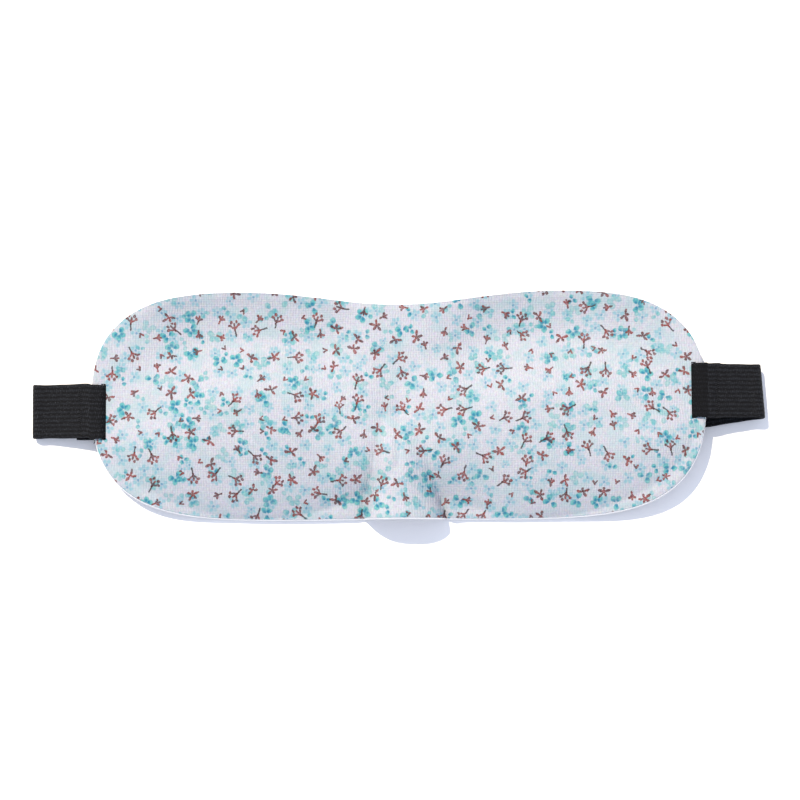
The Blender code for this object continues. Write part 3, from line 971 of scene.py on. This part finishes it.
def make_nose_pad(looks):
    """Thin padded flap behind the nose bridge, with a sewn channel inside its edge."""
    low, high = node_box("nose_pad")
    inset, gap, thick, count = 0.2, 0.8, 1.9, 91
    across = np.linspace(-1.0, 1.0, count)
    along = np.linspace(low.y + inset, high.y - inset, count)
    t, y = np.meshgrid(across, along)
    ends = (y - low.y) / (high.y - low.y)
    x = (high.x - inset) * t * (0.82 + 0.18 * np.sin(math.pi * np.clip(ends, 0.0, 1.0)))
    rim = np.minimum(1.0 - np.abs(t), 2.2 * np.minimum(ends, 1.0 - ends))
    channel = np.exp(-(((rim - 0.17) / 0.045) ** 2))
    plump = np.sqrt(np.clip(rim / 0.28, 0.0, 1.0)) - 0.42 * channel
    middle = back_z(x, y + MIDDLE_Y) - gap - 0.5 * thick
    half = 0.5 * thick * (0.12 + 0.88 * plump)
    upper, lower = np.stack([x, y, middle + half], -1), np.stack([x, y, middle - half], -1)
    pad = slab_mesh("nose_cushion", upper, lower, looks["pad"])
    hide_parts("nose_pad")
    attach(pad, "mask")


def zigzag_tack(web, at_u, look, name, loose):
    """Dense zigzag stitching across the webbing, on both faces, with any loose thread ends."""
    turns, half_width, half_length = 46, 8.8, 0.65
    v = np.linspace(-half_width, half_width, turns)
    u = at_u + half_length * np.where(np.arange(turns) % 2, 1.0, -1.0)
    parts = [tube(web.place(u, v, face * (0.5 * STRAP - 0.01)), 0.10) for face in (1.0, -1.0)]
    parts.extend(tube(line, 0.13) for line in loose)
    return finish_mesh(name, *joined(parts), look)


def closure_base(web, name, centre_u, facing, look):
    """Woven tape of a closure patch, with rounded corners."""
    u = np.linspace(-0.5, 0.5, 61) * PATCH_LENGTH
    v = np.linspace(-0.5, 0.5, 31) * PATCH_WIDTH
    u, v = np.meshgrid(u, v, indexing="ij")

    # Corners are drawn in to a round about the core rectangle
    core_u = np.clip(u, PATCH_CORNER - 0.5 * PATCH_LENGTH, 0.5 * PATCH_LENGTH - PATCH_CORNER)
    core_v = np.clip(v, PATCH_CORNER - 0.5 * PATCH_WIDTH, 0.5 * PATCH_WIDTH - PATCH_CORNER)
    shrink = PATCH_CORNER / np.maximum(np.hypot(u - core_u, v - core_v), PATCH_CORNER)
    u, v = core_u + (u - core_u) * shrink, core_v + (v - core_v) * shrink
    weave = 0.03 * np.sin(u / 0.35) * np.sin(v / 0.35)
    upper = web.place(centre_u + u, v, facing * (0.5 * STRAP + TAPE + weave))
    lower = web.place(centre_u + u, v, facing * (0.5 * STRAP + 0.02))
    return slab_mesh(name, upper, lower, look)


def closure_pile(web, name, centre_u, facing, hooked, look):
    """Rows of small hooks, or a mat of soft loops, on the closure tape."""
    random = np.random.default_rng(SEED + hooked)
    pitch, thread = (1.25, 0.10) if hooked else (1.05, 0.06)
    margin, top = 2.4, PATCH_HEIGHT - TAPE
    bend = np.linspace(0.0, 1.0, 7)
    parts = []
    for u in np.arange(margin - 0.5 * PATCH_LENGTH, 0.5 * PATCH_LENGTH - margin + 0.1, pitch):
        for v in np.arange(margin - 0.5 * PATCH_WIDTH, 0.5 * PATCH_WIDTH - margin + 0.1, pitch):
            du, dv, turn = random.uniform(-0.3, 0.3, 3) * (0.3 if hooked else 1.0)
            if hooked:
                heading = turn
                out = 0.42 * np.sin(2.6 * bend) ** 2
                up = top * np.minimum(1.25 * bend, 1.0) - 1.1 * np.maximum(bend - 0.8, 0.0)
            else:
                heading = 10.0 * turn
                out = 0.75 * (bend - 0.5)
                up = top * np.sin(math.pi * bend) * random.uniform(0.6, 1.0)
            uu = centre_u + u + du + out * math.cos(heading)
            vv = v + dv + out * math.sin(heading)
            line = web.place(uu, vv, facing * (0.5 * STRAP + TAPE - 0.03 + up))
            parts.append(tube(line, thread, 4))
    return finish_mesh(name, *joined(parts), look)


def closure_stitches(web, name, centre_u, look):
    """Lock stitches in a rectangle round a patch, seen on both faces of the strap."""
    inset, stitch, gap, arch = 1.3, 1.9, 0.7, 0.1
    half_u, half_v = 0.5 * PATCH_LENGTH - inset, 0.5 * PATCH_WIDTH - inset
    corners = [(-half_u, -half_v), (half_u, -half_v), (half_u, half_v), (-half_u, half_v), (-half_u, -half_v)]
    raised = arch * np.sin(np.linspace(0.0, math.pi, 6))
    parts = []
    for (u0, v0), (u1, v1) in zip(corners, corners[1:]):
        count = int(math.hypot(u1 - u0, v1 - v0) / (stitch + gap))
        for k in range(count):
            share = np.linspace(k, k + stitch / (stitch + gap), 6) / count
            for h in (0.42 * STRAP + raised, -0.5 * STRAP - 0.5 - raised):
                parts.append(tube(web.place(centre_u + mix(u0, u1, share), mix(v0, v1, share), h), 0.15))
    return finish_mesh(name, *joined(parts), look)


def loose_thread(strap):
    """Curled end of thread that stands out beside a bartack."""
    root = Vector((strap["side"] * 114.2, strap["y"] - 9.6, strap["hinge_z"] + 1.9))
    start = ((-0.6, 0.6, 0.5), (-0.1, -0.3, 0.7), (0.5, -0.9, 0.5))
    curl = start + ((0.9, -1.6, 0.2), (0.9, -2.3, -0.2), (0.5, -2.8, -0.5))
    return [tuple(root + Vector(p)) for p in curl]


def make_strap(strap, looks):
    """One strap with its stitching and closure."""
    web = Webbing(strap)
    label, side = strap["label"], strap["side"]
    stub_body, run_body = f"{label}_stub", f"{label}_run"
    elastic = elastic_look(f"{label}_elastic", web.u_at(HALF_WIDTH), strap["loop_painted_shade"])
    near = web.strip(f"{label}_webbing_near", 0.0, web.join_u, elastic, strap["loop_shift"])
    far = web.strip(f"{label}_webbing_far", web.join_u, web.tip_u, elastic)
    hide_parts(f"{label}_strap_loop", f"{label}_strap_stub")
    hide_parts(f"{label}_strap_fold", f"{label}_strap_run")

    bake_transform(near)
    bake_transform(far)

    loose = [loose_thread(strap)] if side < 0 else []
    tack = zigzag_tack(web, web.u_at(BARTACK_X), looks["thread"], f"{label}_zigzag_tack", loose)
    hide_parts(f"{label}_bartack")
    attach(tack, "mask")

    hooked = side < 0
    kind, facing = ("hook", -1.0) if hooked else ("loop", 1.0)
    centre = web.tip_u - PATCH_FROM_TIP - 0.5 * PATCH_LENGTH
    tape = closure_base(web, f"{kind}_tape", centre, facing, looks[kind])
    pile = closure_pile(web, f"{kind}_pile", centre, facing, hooked, looks[kind])
    sewn = closure_stitches(web, f"{kind}_tape_stitches", centre, looks["thread"])
    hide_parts(f"{kind}_patch")
    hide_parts(f"{kind}_patch_stitching")
    for piece in (tape, pile, sewn):
        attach(piece, run_body)


# -------- stage


def make_stage():
    """White table, soft key from the upper left and a bluish fill."""
    data = bpy.data.meshes.new("table")
    reach = 4.0
    corners = [(-reach, -reach, 0), (reach, -reach, 0), (reach, reach, 0), (-reach, reach, 0)]
    data.from_pydata(corners, [], [(0, 1, 2, 3)])
    table = placed("table", data)
    table.location.z = -0.0002
    g = Graph("table")
    data.materials.append(g.set(Base_Color=(0.95, 0.95, 0.95), Roughness=0.9, Specular_IOR_Level=0.0))

    key = bpy.data.lights.new("key", "SUN")
    key.energy, key.angle, key.color = 4.1, math.radians(1.6), (1.146, 1.006, 0.805)
    travel = Vector((0.338, -0.482, -0.809))
    placed("key", key).rotation_euler = travel.to_track_quat("-Z", "Y").to_euler()

    world = bpy.data.worlds.new("fill")
    world.use_nodes = True
    sky = world.node_tree.nodes["Background"]
    sky.inputs["Color"].default_value = (0.78, 0.838, 1.0, 1.0)
    sky.inputs["Strength"].default_value = 1.0
    bpy.context.scene.world = world
    bpy.context.scene.view_settings.view_transform = "Standard"


def make_camera():
    """Looks down from almost overhead, turned by a third of a degree."""
    elevation, distance, width, roll = math.radians(86.0), 0.9, 0.2992, math.radians(0.35)
    target = Vector((0.6, 1.9, 6.0)) * MM
    away = Vector((0.0, -math.cos(elevation), math.sin(elevation)))
    camera = placed("camera", bpy.data.cameras.new("camera"))
    camera.location = target + distance * away
    turn = (-away).to_track_quat("-Z", "Y") @ Euler((0.0, 0.0, -roll)).to_quaternion()
    camera.rotation_euler = turn.to_euler()
    sensor = 36.0
    camera.data.sensor_width = sensor
    camera.data.lens = sensor * distance / width
    camera.data.clip_end = 20.0
    bpy.context.scene.camera = camera


def main():
    make_camera()
    make_stage()
    looks = {
        "cover": printed_knit(),
        "foam": foam_look(),
        "lining": lining_look("lining_knit", (0.74, 0.745, 0.77), (0.60, 0.605, 0.64)),
        "pad": lining_look("pad_knit", (0.71, 0.715, 0.74), (0.56, 0.565, 0.60)),
        "hook": dark_look("hook_tape", seen(36, 36, 39), 0.45, 3.0),
        "loop": dark_look("loop_tape", seen(42, 42, 46), 0.9, 4.0),
        "thread": dark_look("black_thread", seen(30, 30, 33), 0.6, 6.0),
    }
    make_body(looks)
    make_nose_pad(looks)
    make_strap(LEFT, looks)
    make_strap(RIGHT, looks)


main()
